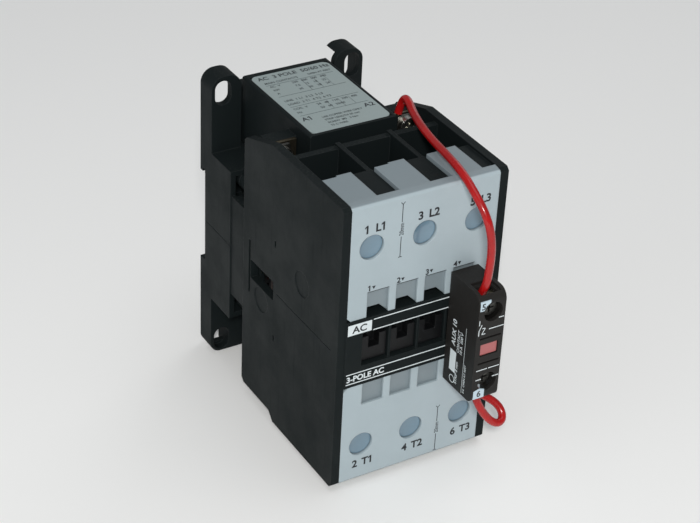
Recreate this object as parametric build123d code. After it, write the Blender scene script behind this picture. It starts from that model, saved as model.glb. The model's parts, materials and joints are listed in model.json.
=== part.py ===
from build123d import *
import math
import os

# Three-pole contactor for a 35 mm rail, with a clip-on auxiliary contact block and two free leads.
# Millimetres. X runs across the poles, +Y into the wall, +Z up.
# The origin lies on the wall plane, at the centre of the rail recess and of the four ear slots.

# ---- overall sizes ----
body_width = 60.0          # over the main housing
wall = 3.0                 # side walls of the main housing
front_y = -97.0            # front of the face plates
housing_rear_y = -33.6     # rear edge of the side walls
top_z = 53.1
bottom_z = -53.5
centre_z = -0.8            # centre line of the poles, the magnet and the front
pole_pitch = 19.25
pole_count = 3
stroke = 5.0               # travel of the magnet and the contact carrier
gap = 0.3                  # clearance between pieces that move past each other
skin = 1.6                 # thin moulded walls

# ---- base and rail clip ----
base_half_x = 29.3
base_top_z = 56.0
base_bottom_z = -55.2
ear_corner = 4.8          # rounding of the upper ears
foot_corner = 4.0         # rounding of the lower ears
ear_thickness = 8.3
foot_skin = 3.2            # plate left in front of the relief behind the lower left slot
ear_skin = 2.6             # the same for the upper ears
ear_rim = 1.4              # walls left round the pockets behind the upper ears
relief_low_z = 41.0
web_thickness = 2.1        # cross web behind the lower left slot
slot_spacing_x = 50.0
slot_spacing_z = 99.8
slot_width = 6.0
slot_length = 9.0
rail_height = 35.4
rail_depth = 3.5
block_front_y = -22.5
block_top_z = 27.7
block_bottom_z = -31.4
cheek_outer_x = 28.9
latch_travel = 3.0

# ---- magnet ----
core_half_x = 24.0
core_half_z = 10.0
core_rear_y = -9.0
core_back = 8.0            # thickness of the back iron
pole_face_y = -36.0
centre_leg_half = 7.0
outer_leg_width = 6.5
armature_back = 7.0
coil_rear_y = -18.0
coil_front_y = -41.0
bobbin_wall = 1.3
winding_half_x = 16.4
winding_half_z = 19.2

# ---- contacts ----
deck_y = (-60.3, -57.8)    # wall between the magnet and the contact chambers
strip = 2.0                # thickness of the contact strips
tip = 1.0                  # thickness of a silver contact tip
bridge_thickness = 1.2
bridge_half_z = 16.5
tip_z = (11.5, 16.0)
terminal_half_x = 4.5
terminal_y = (-79.5, -77.3)
terminal_z = 38.0          # screw centre, from the centre line
clamp_travel = 6.0
screw_lead = 0.7
well_radius = 4.4
post_half_x = 5.5
post_half_z = 4.5

# ---- face plates and front band ----
plate = 2.2
window_pitch = 10.6
window_width = 8.0
window_count = 4
window_floor = 1.2
finger_end = 12.2          # lower ends of the upper plate, from the centre line
window_sill = 15.2
window_head = 21.5
lower_edge = -13.1         # upper edge of the lower plate
lower_sill = -21.8
band_y = -97.4
socket_half_x = 21.1
socket_z = (-5.8, 6.8)
tongue = (-8.25, 2.9)      # tongues on the roof, from the pole's centre
tongue_rear_y = -77.7
bevel = 3.5

# ---- coil tower ----
tower_half_x = 16.4
tower_y = (-52.5, -5.6)
tower_bottom_z = 28.2
label_half_x = 14.9
label_y = (-51.3, -7.8)
coil_screw_x = 23.6
coil_screw_z = 45.4
coil_plate_y = (-44.4, -43.2)
wire_gap = 1.2

# ---- auxiliary block ----
aux_x = (10.9, 21.1)
aux_front_y = -114.2
aux_rear_y = -97.5
aux_z = (-21.4, 20.0)
aux_wall = 1.1
aux_centre_x = 15.9
aux_screw_z = (-14.0, 13.0)
indicator_x = (12.7, 19.5)
indicator_z = (-3.4, 1.2)

# ---- leads ----
lead_diameter = 2.7
core_radius = 0.55        # bare copper end
lead_a2_route = [(21.3, -45.0, 49.2), (22.2, -44.9, 52.4), (22.6, -46.4, 55.4), (22.0, -49.8, 55.9),
                 (20.5, -54.8, 54.6), (17.9, -64.1, 54.5), (15.2, -75.4, 55.3), (13.0, -87.2, 56.4),
                 (11.7, -97.7, 56.2), (11.2, -106.1, 53.0), (11.8, -111.5, 48.6), (13.0, -113.5, 42.8),
                 (14.2, -113.2, 35.3), (14.8, -112.0, 27.4), (14.9, -111.0, 20.9), (14.4, -109.0, 16.7)]
lead_aux_route = [(14.4, -109.0, -17.7), (14.9, -110.8, -22.0), (16.6, -111.8, -26.4), (18.8, -112.5, -30.1),
                  (21.1, -113.2, -32.8), (23.6, -113.5, -34.1), (25.8, -112.6, -33.6), (26.5, -110.8, -31.7),
                  (25.6, -108.8, -29.7), (23.6, -106.8, -28.1), (21.3, -105.0, -26.7), (19.2, -103.5, -24.7),
                  (17.9, -102.6, -21.9), (17.7, -102.3, -19.0)]
lead_return = lead_aux_route[-1]

os.makedirs("parts", exist_ok=True)

side_x = body_width / 2
inner_x = side_x - wall
pole_x = [(i - (pole_count - 1) / 2) * pole_pitch for i in range(pole_count)]
window_x = [(i - (window_count - 1) / 2) * window_pitch for i in range(window_count)]
partition_x = [(i - (pole_count - 2) / 2) * pole_pitch for i in range(pole_count - 1)]
sides = (-1, 1)


def both(half):
    return (-half, half)


def about(centre, half):
    return (centre - half, centre + half)


def ordered(a, b):
    return (min(a, b), max(a, b))


def mirrored(z, side):
    """Heights measured from the centre line, on the upper (+1) or the lower (-1) side."""
    return ordered(centre_z + side * z[0], centre_z + side * z[1])


def block(x, y, z):
    size = Box(x[1] - x[0], y[1] - y[0], z[1] - z[0])
    return Pos((x[0] + x[1]) / 2, (y[0] + y[1]) / 2, (z[0] + z[1]) / 2) * size


def rod(x, z, radius, y):
    return Pos(x, (y[0] + y[1]) / 2, z) * Rot(90, 0, 0) * Cylinder(radius, y[1] - y[0])


def rod_z(x, y, radius, z):
    return Pos(x, y, (z[0] + z[1]) / 2) * Cylinder(radius, z[1] - z[0])


def slot_y(x, z, width, length, y):
    """Round-ended slot, long in Z, cut along Y."""
    half = (length - width) / 2
    straight = block(about(x, width / 2), y, about(z, half))
    return straight + rod(x, z - half, width / 2, y) + rod(x, z + half, width / 2, y)


def rounded(shape, axis, radius):
    return fillet(shape.edges().filter_by(axis), radius)


def profile_x(points, x):
    """Prism along X of a closed outline given as (y, z) points."""
    face = make_face(Polyline([(x[0], y, z) for y, z in points], close=True))
    return extrude(face, amount=x[1] - x[0], dir=(1, 0, 0))


def profile_y(points, y):
    """Prism along Y of a closed outline given as (x, z) points."""
    face = make_face(Polyline([(x, y[0], z) for x, z in points], close=True))
    return extrude(face, amount=y[1] - y[0], dir=(0, 1, 0))


def coil_spring(radius, wire, turns, length):
    """Compression spring standing on the XY plane, wire centre to wire centre."""
    path = Helix(pitch=length / turns, height=length, radius=radius)
    section = Plane(origin=path @ 0, z_dir=path % 0) * Circle(wire)
    return sweep(section, path=path, is_frenet=True)


def spring_y(x, z, radius, wire, turns, y):
    spring = coil_spring(radius, wire, turns, y[1] - y[0] - 2 * wire)
    return Pos(x, y[1] - wire, z) * Rot(90, 0, 0) * spring


def screw_y(x, z, shank, head, y_head, y_end, drive=True):
    """Cross-head screw along Y with its head towards the front (-Y)."""
    body = rod(x, z, head, y_head) + rod(x, z, shank, (y_head[1], y_end))
    if drive:
        depth = 0.6 * (y_head[1] - y_head[0])
        cross = Box(head * 1.3, 2 * depth, head * 0.24) + Box(head * 0.24, 2 * depth, head * 1.3)
        body -= Pos(x, y_head[0], z) * cross
    return body


def write(name, shape):
    solids = list(shape) if isinstance(shape, list) else shape.solids()
    solid_only = solids[0] if len(solids) == 1 else Compound(children=solids)
    export_step(solid_only, "parts/" + name + ".step")
    print(name, len(solids), round(sum(s.volume for s in solids), 1))


# ---- base ----
screw_x = 22.5
screw_z = 24.0
boss_radius = 3.6
screw_shank = 1.7
screw_head = 3.2
core_pocket = (core_half_x + 0.4, core_half_z + 0.4)
coil_clear = 0.8
pad_thickness = 1.4
coil_flange_x = winding_half_x + coil_clear
coil_flange_z = winding_half_z + 1.0
ear_inner_x = 18.0
latch_half_x = 8.0
latch_rib_x = 6.0
latch_y = (-3.4, -0.3)
latch_step_y = -1.8
hook_depth = 1.5


def base_housing():
    plate_solid = block(both(base_half_x), (-ear_thickness, 0), (base_bottom_z, base_top_z))
    corners = plate_solid.edges().filter_by(Axis.Y)
    plate_solid = fillet(corners.group_by(Axis.Z)[-1], ear_corner)
    plate_solid = fillet(plate_solid.edges().filter_by(Axis.Y).group_by(Axis.Z)[0], foot_corner)
    dip = block(both(ear_inner_x), (-ear_thickness - 1, 1), (base_top_z - 7.0, base_top_z + 5))
    plate_solid -= rounded(dip, Axis.Y, 2.0)
    inner_corners = [edge for edge in plate_solid.edges().filter_by(Axis.Y)
                     if abs(abs(edge.center().X) - ear_inner_x) < 0.1 and edge.center().Z > base_top_z - 0.5]
    plate_solid = fillet(inner_corners, ear_corner)
    plate_solid -= block(both(ear_inner_x), (-ear_thickness - 1, tower_y[1] + 0.3),
                         (block_top_z, base_top_z + 1))
    middle = block(both(base_half_x), (block_front_y, -1), (block_bottom_z, block_top_z))
    body = plate_solid + middle
    body += base_cheeks()
    body -= rail_recess()
    body -= magnet_pocket()
    for x in sides:
        for z in sides:
            body -= corner_pocket(x, z)
            body += rod(x * screw_x, centre_z + z * screw_z, boss_radius, (block_front_y, -6))
            body -= rod(x * screw_x, centre_z + z * screw_z, screw_shank + 0.2, (block_front_y - 1, 1))
            body -= rod(x * screw_x, centre_z + z * screw_z, screw_head + 0.2, (-6, 1))
            body -= ear_slot(x, z)
    body -= ear_reliefs()
    body -= latch_channel()
    body += block(both(2.4), (latch_y[0] - 0.4, -1.2), (-43.0, -41.0))
    parting = block(both(base_half_x + 1), (block_front_y - 1, -3.7), about(centre_z - 0.4, 0.15))
    parting -= block(both(base_half_x - 0.3), (block_front_y - 2, 0), about(centre_z - 0.4, 1))
    return body - parting


def base_cheeks():
    """Side cheeks that close the magnet towards the main housing."""
    cheeks = None
    for x in sides:
        outer = block(ordered(x * 25.6, x * cheek_outer_x), (housing_rear_y + gap, block_front_y + 0.5), (-20.8, 18.4))
        tongue_in = block(ordered(x * 25.0, x * (inner_x - 0.1)), (-40.0, block_front_y + 0.5), (-20.6, 18.2))
        cheeks = outer + tongue_in if cheeks is None else cheeks + outer + tongue_in
    return cheeks


def rail_recess():
    recess = block(both(base_half_x + 1), (-rail_depth, 1), both(rail_height / 2))
    hook = block(both(base_half_x + 1), (-rail_depth + 0.1, -1.8),
                 (rail_height / 2 - 1, rail_height / 2 + hook_depth))
    return recess + hook


def magnet_pocket():
    core = block(both(core_pocket[0]), (block_front_y - 20, core_rear_y + pad_thickness),
                 about(centre_z, core_pocket[1]))
    coil = block(both(coil_flange_x + 0.3), (block_front_y - 20, coil_rear_y + 0.5),
                 about(centre_z, coil_flange_z + 0.4))
    return core + coil


def corner_pocket(x, z):
    low = core_pocket[1] + 1.6
    high = (block_top_z - centre_z if z > 0 else centre_z - block_bottom_z) - 2.0
    pocket = block(ordered(x * (coil_flange_x + 1.6), x * (base_half_x - 2.0)),
                   (block_front_y - 1, -10.5), mirrored((low, high), z))
    return pocket - rod(x * screw_x, centre_z + z * screw_z, boss_radius, (block_front_y - 2, 0))


def ear_slot(x, z):
    """Fixing slot; the lower left one stops at the cross web behind its plate."""
    depth = (-ear_thickness - 1, 1)
    if x < 0 and z < 0:
        depth = (-ear_thickness - 1, -ear_thickness + foot_skin)
    return slot_y(x * slot_spacing_x / 2, z * slot_spacing_z / 2, slot_width, slot_length, depth)


def ear_reliefs():
    """Pockets behind three of the ear slots; the lower left one keeps a cross web."""
    x = about(-slot_spacing_x / 2, slot_width / 2)
    rear = -ear_thickness + foot_skin
    relief = block(x, (rear, 1), (-slot_spacing_z / 2 - slot_width / 2 - gap, -slot_spacing_z / 2 + slot_length / 2))
    relief += block(x, (rear + web_thickness, 1), (base_bottom_z - 1, -slot_spacing_z / 2))
    for side in sides:
        pocket = block(ordered(side * (ear_inner_x - 1), side * (base_half_x - 1)),
                       (-ear_thickness + ear_skin, 1), (relief_low_z, base_top_z - ear_rim))
        outer = [edge for edge in pocket.edges().filter_by(Axis.Y) if abs(edge.center().X) > ear_inner_x]
        relief += fillet(outer, 3.4)
    return relief


def latch_channel():
    wide = block(both(latch_half_x + 0.3), (latch_y[0] - 0.4, latch_step_y + 0.3),
                 (base_bottom_z - 1, -rail_height / 2 + 1))
    narrow = block(both(latch_rib_x + 0.3), (latch_step_y, 1), (base_bottom_z - 1, -rail_height / 2 + 1))
    return wide + narrow


def rail_latch():
    wings = block(both(latch_half_x), (latch_y[0], latch_step_y), (base_bottom_z + 0.4, -rail_height / 2 - 0.3))
    rib = block(both(latch_rib_x), (latch_step_y, latch_y[1]), (base_bottom_z + 0.4, -rail_height / 2 + 1.6))
    latch = wings + rib
    wedge = profile_x([(latch_step_y - 1, -rail_height / 2 + 2), (latch_y[1] - 0.6, -rail_height / 2 + 2),
                       (latch_y[1] + 0.5, -rail_height / 2 + 0.4), (latch_y[1] + 2, -rail_height / 2 + 3)],
                      both(latch_rib_x + 1))
    latch -= wedge
    latch -= block(both(3.0), (latch_y[0] - 1, 1), (-44.5, -32.0))
    latch -= block(both(3.2), (latch_step_y - 0.4, 1), (base_bottom_z + 2, -50.5))
    return latch


def rail_latch_spring():
    low, high = -41.0, -32.0
    wire = 0.35
    spring = coil_spring(1.1, wire, 5, high - low - 2 * wire)
    return Pos(0, -2.3, low + wire) * spring


# ---- magnet ----
def outer_leg(x):
    return ordered(x * (core_half_x - outer_leg_width), x * core_half_x)


def shading_ring(x, clear):
    inner = core_half_x - outer_leg_width + 0.9
    y = (pole_face_y - (1.0 if clear else 0), pole_face_y + 1.4)
    outer = block(ordered(x * inner, x * (inner + 3.4)), y, about(centre_z, 8.6))
    return outer - block(ordered(x * (inner + 1), x * (inner + 2.4)), (y[0] - 1, y[1] + 1), about(centre_z, 7.6))


def fixed_core():
    core = block(both(core_half_x), (core_rear_y - core_back, core_rear_y), about(centre_z, core_half_z))
    core += block(both(centre_leg_half), (pole_face_y, core_rear_y - core_back), about(centre_z, core_half_z))
    for x in sides:
        core += block(outer_leg(x), (pole_face_y, core_rear_y - core_back), about(centre_z, core_half_z))
        core -= shading_ring(x, True)
        core -= rod_z(x * 17.0, core_rear_y - core_back / 2, 1.5, about(centre_z, core_half_z + 1))
        core += rod_z(x * 17.0, core_rear_y - core_back / 2, 1.5, about(centre_z, core_half_z + 0.3))
    return core


def core_pads():
    pads = []
    for x in sides:
        pad = block(ordered(x * 9.0, x * 21.0), (core_rear_y, core_rear_y + pad_thickness), about(centre_z, 7.5))
        pads.append(rounded(pad, Axis.Y, 2.0))
    return pads


armature_y = (-54.0, -47.0)
pin_y = -50.5
cheek_half_x = 5.0
spring_z = 16.6           # return springs, from the centre line


def armature():
    iron = block(both(core_half_x), armature_y, about(centre_z, core_half_z))
    iron += block(both(centre_leg_half - 0.2), (armature_y[1], pole_face_y - stroke - 0.4),
                  about(centre_z, core_half_z))
    for x in sides:
        iron += block(outer_leg(x), (armature_y[1], pole_face_y - stroke - 0.05), about(centre_z, core_half_z))
    return iron - rod_z(0, pin_y, 1.5, about(centre_z, core_half_z + 1))


def armature_pin():
    return rod_z(0, pin_y, 1.45, about(centre_z, core_half_z + 2.4))


def coil_bobbin():
    bore_x, bore_z = centre_leg_half + 0.3, core_half_z + 0.3
    tube = block(both(bore_x + bobbin_wall), (coil_front_y, coil_rear_y), about(centre_z, bore_z + bobbin_wall))
    for y in ((coil_front_y, coil_front_y + 1.5), (coil_rear_y - 1.5, coil_rear_y)):
        flange = block(both(coil_flange_x), y, about(centre_z, coil_flange_z))
        tube += rounded(flange, Axis.Y, 3.0)
    return tube - block(both(bore_x), (coil_front_y - 1, coil_rear_y + 1), about(centre_z, bore_z))


def coil_winding():
    inside = (centre_leg_half + 0.3 + bobbin_wall + 0.02, core_half_z + 0.3 + bobbin_wall + 0.02)
    y = (coil_front_y + 1.55, coil_rear_y - 1.55)
    winding = rounded(block(both(winding_half_x), y, about(centre_z, winding_half_z)), Axis.Y, 5.0)
    return winding - block(both(inside[0]), (y[0] - 1, y[1] + 1), about(centre_z, inside[1]))


def return_springs():
    return [spring_y(0, centre_z + z * spring_z, 3.2, 0.4, 5, (armature_y[0], coil_front_y)) for z in sides]


# ---- coil tower and coil terminals ----
shelf_z = (38.5, 40.5)


def coil_tower():
    tower = block(both(tower_half_x), tower_y, (tower_bottom_z, top_z))
    tower = fillet(tower.edges().filter_by(Axis.Y).group_by(Axis.Z)[-1], 0.8)
    inside = block(both(tower_half_x - skin), (tower_y[0] + skin, tower_y[1] - skin),
                   (tower_bottom_z - 1, top_z - 2.0))
    tower -= inside
    tower -= block(both(label_half_x + 0.1), (label_y[0] - 0.1, label_y[1] + 0.1), (top_z - 0.5, top_z + 1))
    for x in sides:
        wing_x = ordered(x * (tower_half_x - 0.5), x * (inner_x - 0.4))
        tower += block(wing_x, (tower_y[0], -38.0), shelf_z)
        tower += block(wing_x, (coil_plate_y[1], -38.0), (shelf_z[1] - 0.5, coil_screw_z + 3.4))
        tower += block(wing_x, (tower_y[0], tower_y[0] + 1.2), (shelf_z[1] - 0.5, 43.0))
        tower -= rod(x * coil_screw_x, coil_screw_z, 2.0, (coil_plate_y[1] - 1, -39.2))
        tower -= block(ordered(x * 16.5, x * 18.5), (coil_plate_y[0] - 0.2, coil_plate_y[1] + 0.01),
                       (shelf_z[0] - 1, shelf_z[1] + 1))
    return tower


def rating_plate():
    label = block(both(label_half_x), label_y, (top_z - 0.5, top_z - 0.05))
    return rounded(label, Axis.Z, 2.4)


def coil_terminal(x):
    strip_plate = block(ordered(x * 16.9, x * 26.4), coil_plate_y, (shelf_z[1] + 0.2, coil_screw_z + 3.2))
    leg = block(ordered(x * 16.9, x * 18.1), coil_plate_y, (18.5, shelf_z[1] + 1))
    foot = block(ordered(x * 16.9, x * 18.1), (coil_plate_y[0], coil_front_y + 1.4), (18.0, 19.4))
    hole = rod(x * coil_screw_x, coil_screw_z, 1.72, (coil_plate_y[0] - 1, coil_plate_y[1] + 1))
    return strip_plate + leg + foot - hole


washer_y = (coil_plate_y[0] - wire_gap - 1.0, coil_plate_y[0] - wire_gap)


def coil_terminal_screws():
    screws = []
    for x in sides:
        screws.append(screw_y(x * coil_screw_x, coil_screw_z, 1.7, 3.2,
                              (washer_y[0] - 2.2, washer_y[0] - 0.02), -39.6))
    return screws


def coil_clamp_washers():
    washers = []
    for x in sides:
        washer = block(about(x * coil_screw_x, 3.3), washer_y, about(coil_screw_z, 3.3))
        washer = rounded(washer, Axis.Y, 0.6)
        washers.append(washer - rod(x * coil_screw_x, coil_screw_z, 1.8, (washer_y[0] - 1, washer_y[1] + 1)))
    return washers


# ---- main housing ----
roof_z = top_z - 1.8
pad_z = top_z - 1.0
front_wall = (front_y + plate + 0.1, front_y + plate + 2.1)
slot_pad = (2.95, 10.55)   # raised black strips on the roof, from the pole's centre
shroud_z = (23.2, 25.2)


def side_profile():
    """Side wall outline: bevelled top-rear corner and a stepped lower edge."""
    step_y = -55.0
    return [(front_y, bottom_z + 1.2), (front_y + 1.2, bottom_z), (step_y - 1.5, bottom_z),
            (step_y + 1.5, bottom_z + 3.1), (housing_rear_y - 1.5, bottom_z + 3.1),
            (housing_rear_y, bottom_z + 4.6), (housing_rear_y, top_z - 7.2),
            (housing_rear_y - 1.2, top_z - 5.8), (-36.8, top_z - 5.1), (-52.2, top_z),
            (front_y + 1.2, top_z), (front_y, top_z - 1.2)]


def side_wall(x):
    panel = profile_x(side_profile(), ordered(x * inner_x, x * side_x))
    outside = ordered(x * (side_x - 1.2), x * (side_x + 1))
    groove = ordered(x * (side_x - 0.35), x * (side_x + 1))
    through = ordered(x * (inner_x - 1), x * (side_x + 1))
    panel -= block(outside, about(-38.2, 0.65), (-10.5, 10.2))
    panel -= block(through, (-54.9, -39.0), (-4.3, 3.0))
    panel -= block(groove, (-93.0, -57.0), about(-0.45, 0.15))
    for z in ((16.9, 19.4), (-20.2, -17.8)):
        panel -= block(outside, about(-55.7, 0.5), z)
    for y, z in ((-73.5, 13.0), (-46.5, -9.0)):
        dish = Pos(x * side_x, y, z) * Rot(0, 90, 0) * Cylinder(4.6, 0.5)
        panel -= dish
    return panel


def front_band():
    band = block(both(inner_x), (band_y, front_wall[1]), mirrored((lower_edge, finger_end), 1))
    return band


def main_housing():
    body = front_band()
    body += block(both(inner_x), front_wall, (bottom_z + 1.8, top_z - 1.9))
    body -= block(both(socket_half_x), (band_y - 1, front_wall[1] + 1), mirrored(socket_z, 1))
    for i in range(window_count - 1):
        rib_x = (i - (window_count - 2) / 2) * window_pitch
        body += block(about(rib_x, 0.45), (band_y + 0.5, -91.5), mirrored((socket_z[0] - 0.5, socket_z[1] + 0.5), 1))
    body += block(both(inner_x), (front_wall[0], tongue_rear_y), (roof_z - 2.0, roof_z - 0.1))
    body += block(both(inner_x), (front_wall[0], tongue_rear_y), (bottom_z + 1.9, bottom_z + 3.8))
    for x in pole_x:
        pad_x = (x + slot_pad[0], min(x + slot_pad[1], inner_x))
        body += block(pad_x, (front_y + bevel + 0.1, tongue_rear_y), (roof_z - 0.2, pad_z))
    body += block(both(inner_x), deck_y, (bottom_z + 3.2, top_z - 2.0))
    body += partitions()
    body += terminal_stops()
    body += magnet_shroud()
    body -= carrier_openings()
    body -= terminal_wells()
    body -= hook_openings()
    for x in sides:
        body += side_wall(x)
        body -= coil_leg_slot(x)
        for z in sides:
            body -= rod(x * screw_x, centre_z + z * screw_z, screw_shank + 0.03, (-46.0, 0))
    return body


def partitions():
    walls = None
    for x in partition_x:
        sheet = block(about(x, skin / 2), (front_wall[0], deck_y[1]), (bottom_z + 2.0, top_z - 1.1))
        sheet -= block(about(x, skin), (front_wall[0] - 1, -80.0), mirrored((-7.2, 7.2), 1))
        sheet -= block(about(x, skin), (front_wall[0] - 1, tongue_rear_y + 0.1), (roof_z - 0.1, top_z + 1))
        sheet -= block(about(x, skin), (front_wall[0] - 1, tongue_rear_y + 0.1), (bottom_z - 1, bottom_z + 1.9))
        walls = sheet if walls is None else walls + sheet
    return walls


stop_z = (28.4, 30.2)


def terminal_stops():
    """Shelves that end the cable entries above and below the contact chambers."""
    stops = None
    for side in sides:
        shelf = block(both(inner_x), (terminal_y[1] + 0.1, deck_y[1]), mirrored(stop_z, side))
        stops = shelf if stops is None else stops + shelf
    return stops


def magnet_shroud():
    shroud = None
    for side in sides:
        shelf = block(both(inner_x), (deck_y[1] - 0.5, housing_rear_y), mirrored(shroud_z, side))
        for x in sides:
            shelf += rod(x * screw_x, centre_z + side * screw_z, boss_radius, (deck_y[0], block_front_y - 0.3))
        shroud = shelf if shroud is None else shroud + shelf
    floor = block(both(inner_x), (deck_y[0], housing_rear_y), (bottom_z + 3.1, bottom_z + 5.1))
    back = block(both(inner_x), (housing_rear_y - 2.0, housing_rear_y), (bottom_z + 4.6, centre_z - shroud_z[0]))
    for x in (-20, -15, -10, -5, 0, 5, 10, 15, 20):
        floor -= slot_z(x)
    return shroud + floor + back


def coil_leg_slot(x):
    return block(ordered(x * 16.6, x * 18.4), (coil_plate_y[0] - gap, coil_plate_y[1] + gap),
                 (centre_z + shroud_z[0] - 1, centre_z + shroud_z[1] + 1))


def slot_z(x):
    """Vent through the lower wall behind the contact chambers."""
    return block(about(x, 0.9), (-54.5, -38.5), (bottom_z, bottom_z + 8))


def carrier_openings():
    cut = None
    for x in pole_x:
        hole = block(about(x, post_half_x + gap), (deck_y[0] - 1, deck_y[1] + 1), about(centre_z, post_half_z + gap))
        cut = hole if cut is None else cut + hole
    return cut


def terminal_wells():
    cut = None
    for x in pole_x:
        for side in sides:
            well = rod(x, centre_z + side * terminal_z, well_radius, (front_wall[0] - 1, front_wall[1] + 1))
            cut = well if cut is None else cut + well
    return cut


def hook_openings():
    """Openings under the upper windows where an add-on block hooks in."""
    cut = None
    for x in window_x:
        opening = block(about(x, window_width / 2), (band_y - 1, front_wall[1] + 1),
                        mirrored((finger_end, window_sill), 1))
        cut = opening if cut is None else cut + opening
    return cut


# ---- face plates ----
plate_half_x = inner_x - 0.1


def plate_section(side):
    """Face plate outline in (y, z): flat front with a soft bevel into the roof."""
    edge = top_z if side > 0 else bottom_z
    start = centre_z + (finger_end + 0.1 if side > 0 else lower_edge - 0.1)
    points = [(front_y, start), (front_y, edge - side * 1.3), (front_y + 0.5, edge - side * 0.6),
              (front_y + 1.4, edge - side * 0.25), (front_y + bevel, edge),
              (front_y + bevel, edge - side * 1.7), (front_y + plate, edge - side * 1.7),
              (front_y + plate, start)]
    return points


def tongues(side):
    edge = top_z if side > 0 else bottom_z
    z = ordered(edge, edge - side * 1.7)
    group = None
    for x in pole_x:
        left = max(x + tongue[0], -plate_half_x)
        right = x + tongue[1]
        strip_long = block((left, right), (front_y + bevel - 0.2, tongue_rear_y - 0.7), z)
        strip_long += block((left + 5.3, right), (front_y + bevel - 0.2, tongue_rear_y), z)
        group = strip_long if group is None else group + strip_long
    return group


def face_plate(side):
    body = profile_x(plate_section(side), both(plate_half_x)) + tongues(side)
    for x in pole_x:
        body -= rod(x, centre_z + side * terminal_z, well_radius, (front_y - 1, front_y + plate + 1))
    for x in window_x:
        body -= upper_window(x) if side > 0 else lower_window(x)
    body -= plate_corner(side)
    return body


def upper_window(x):
    half = window_width / 2
    cut = block(about(x, half), (front_y - 1, front_y + window_floor), mirrored((window_sill, window_head), 1))
    sill = centre_z + window_sill
    below = centre_z + finger_end - 1
    through = profile_y([(x - half, below), (x - half, sill), (x + 1.2, sill), (x + half - 0.3, below + 1.5),
                         (x + half, below + 1.2), (x + half, below)], (front_y - 1, front_y + plate + 1))
    shallow = block(about(x, half), (front_y - 1, front_y + window_floor), (below, sill))
    return cut + through + shallow


def lower_window(x):
    return block(about(x, window_width / 2), (front_y - 1, front_y + window_floor),
                 mirrored((lower_sill, lower_edge + 1), 1))


def plate_corner(side):
    """Rounded lower-left corner of the upper plate, bevelled upper-left corner of the lower plate."""
    edge = centre_z + (finger_end if side > 0 else lower_edge)
    size = 1.4 if side > 0 else 2.0
    x = -plate_half_x
    return profile_y([(x - 1, edge + side * size), (x, edge + side * size), (x + size, edge),
                      (x + size, edge - side * 1), (x - 1, edge - side * 1)], (front_y - 1, front_y + plate + 1))


plug_y = (front_y + 1.1, front_y + plate + 1.2)


def screw_plugs():
    plugs = []
    for x in pole_x:
        for side in sides:
            z = centre_z + side * terminal_z
            plug = rod(x, z, well_radius - 0.05, plug_y)
            saucer = Pos(x, plug_y[0] - 12.4, z) * Sphere(13.0)
            plugs.append(plug - saucer - rod(x, z, well_radius - 1.2, (plug_y[1] - 1.0, plug_y[1] + 1)))
    return plugs


# ---- main contacts and terminals ----
riser_z = (25.8, 28.0)


def fixed_contact(x, side):
    bar = block(about(x, terminal_half_x), terminal_y, mirrored((riser_z[0], 43.6), side))
    foot = block(about(x, terminal_half_x), (deck_y[0] - strip - 0.05, deck_y[0] - 0.05),
                 mirrored((10.6, riser_z[1]), side))
    riser = block(about(x, terminal_half_x), (terminal_y[0], deck_y[0] - 0.05), mirrored(riser_z, side))
    pad = block(about(x, 2.5), (deck_y[0] - strip - tip - 0.05, deck_y[0] - strip + 0.2), mirrored(tip_z, side))
    dimple = rod(x, centre_z + side * terminal_z, 1.4, (terminal_y[0] - 1, terminal_y[0] + 0.4))
    return bar + foot + riser + rounded(pad, Axis.Y, 0.8) - dimple


clamp_wall = 1.6
clamp_y = (-82.0, -66.8)
clamp_half_x = terminal_half_x + 0.2 + 1.3
clamp_half_z = 4.5
terminal_shank = 2.0


def terminal_clamp(x, side):
    z = about(centre_z + side * terminal_z, clamp_half_z)
    cage = block(about(x, clamp_half_x), clamp_y, z)
    cage = rounded(cage, Axis.Z, 0.8)
    inside_y = (clamp_y[0] + 2.2, clamp_y[1] - clamp_wall)
    cage -= block(about(x, terminal_half_x + 0.2), inside_y, (z[0] - 1, z[1] + 1))
    cage -= rod(x, centre_z + side * terminal_z, terminal_shank + 0.05, (clamp_y[0] - 1, inside_y[0] + 1))
    for i in (-1, 0, 1):
        cage -= block(about(x, terminal_half_x - 0.8), (inside_y[1] - 0.1, inside_y[1] + 0.35),
                      about(centre_z + side * terminal_z + i * 2.4, 0.4))
    return cage


head_y = (front_y + plate + 1.5, front_y + plate + 4.9)


def terminal_screw(x, side):
    return screw_y(x, centre_z + side * terminal_z, terminal_shank, 3.7, head_y, terminal_y[0] - 0.02)


def arc_chute_plates():
    plates = []
    for x in pole_x:
        for side in sides:
            for i in range(4):
                y = -66.4 - i * 3.0
                sheet = block(about(x, 7.2), (y - 0.5, y + 0.5), mirrored((17.4, 25.2), side))
                mouth = block(about(x, 2.2), (y - 1, y + 1), mirrored((16.4, 20.4), side))
                plates.append(sheet - mouth)
    return plates


def chute_racks():
    """Grooved insulating holders that stand against the partitions and carry the splitter plates."""
    racks = []
    for x in pole_x:
        for side in sides:
            for edge in sides:
                rack = block(ordered(x + edge * 6.4, x + edge * 7.6), (-78.0, deck_y[0] - 0.1),
                             mirrored((17.0, 25.4), side))
                for i in range(4):
                    y = -66.4 - i * 3.0
                    rack -= block(ordered(x + edge * 5, x + edge * 7.2), (y - 0.5, y + 0.5),
                                  mirrored((16, 25.2), side))
                racks.append(rack)
    return racks


# ---- contact carrier ----
window_y = (-78.0, -69.5)
crossbar_y = (-90.5, -87.5)
tab_y = (-95.9, -90.5)
tab_z = (-5.0, 4.0)
flange_y = (-57.5, armature_y[0])


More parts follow.
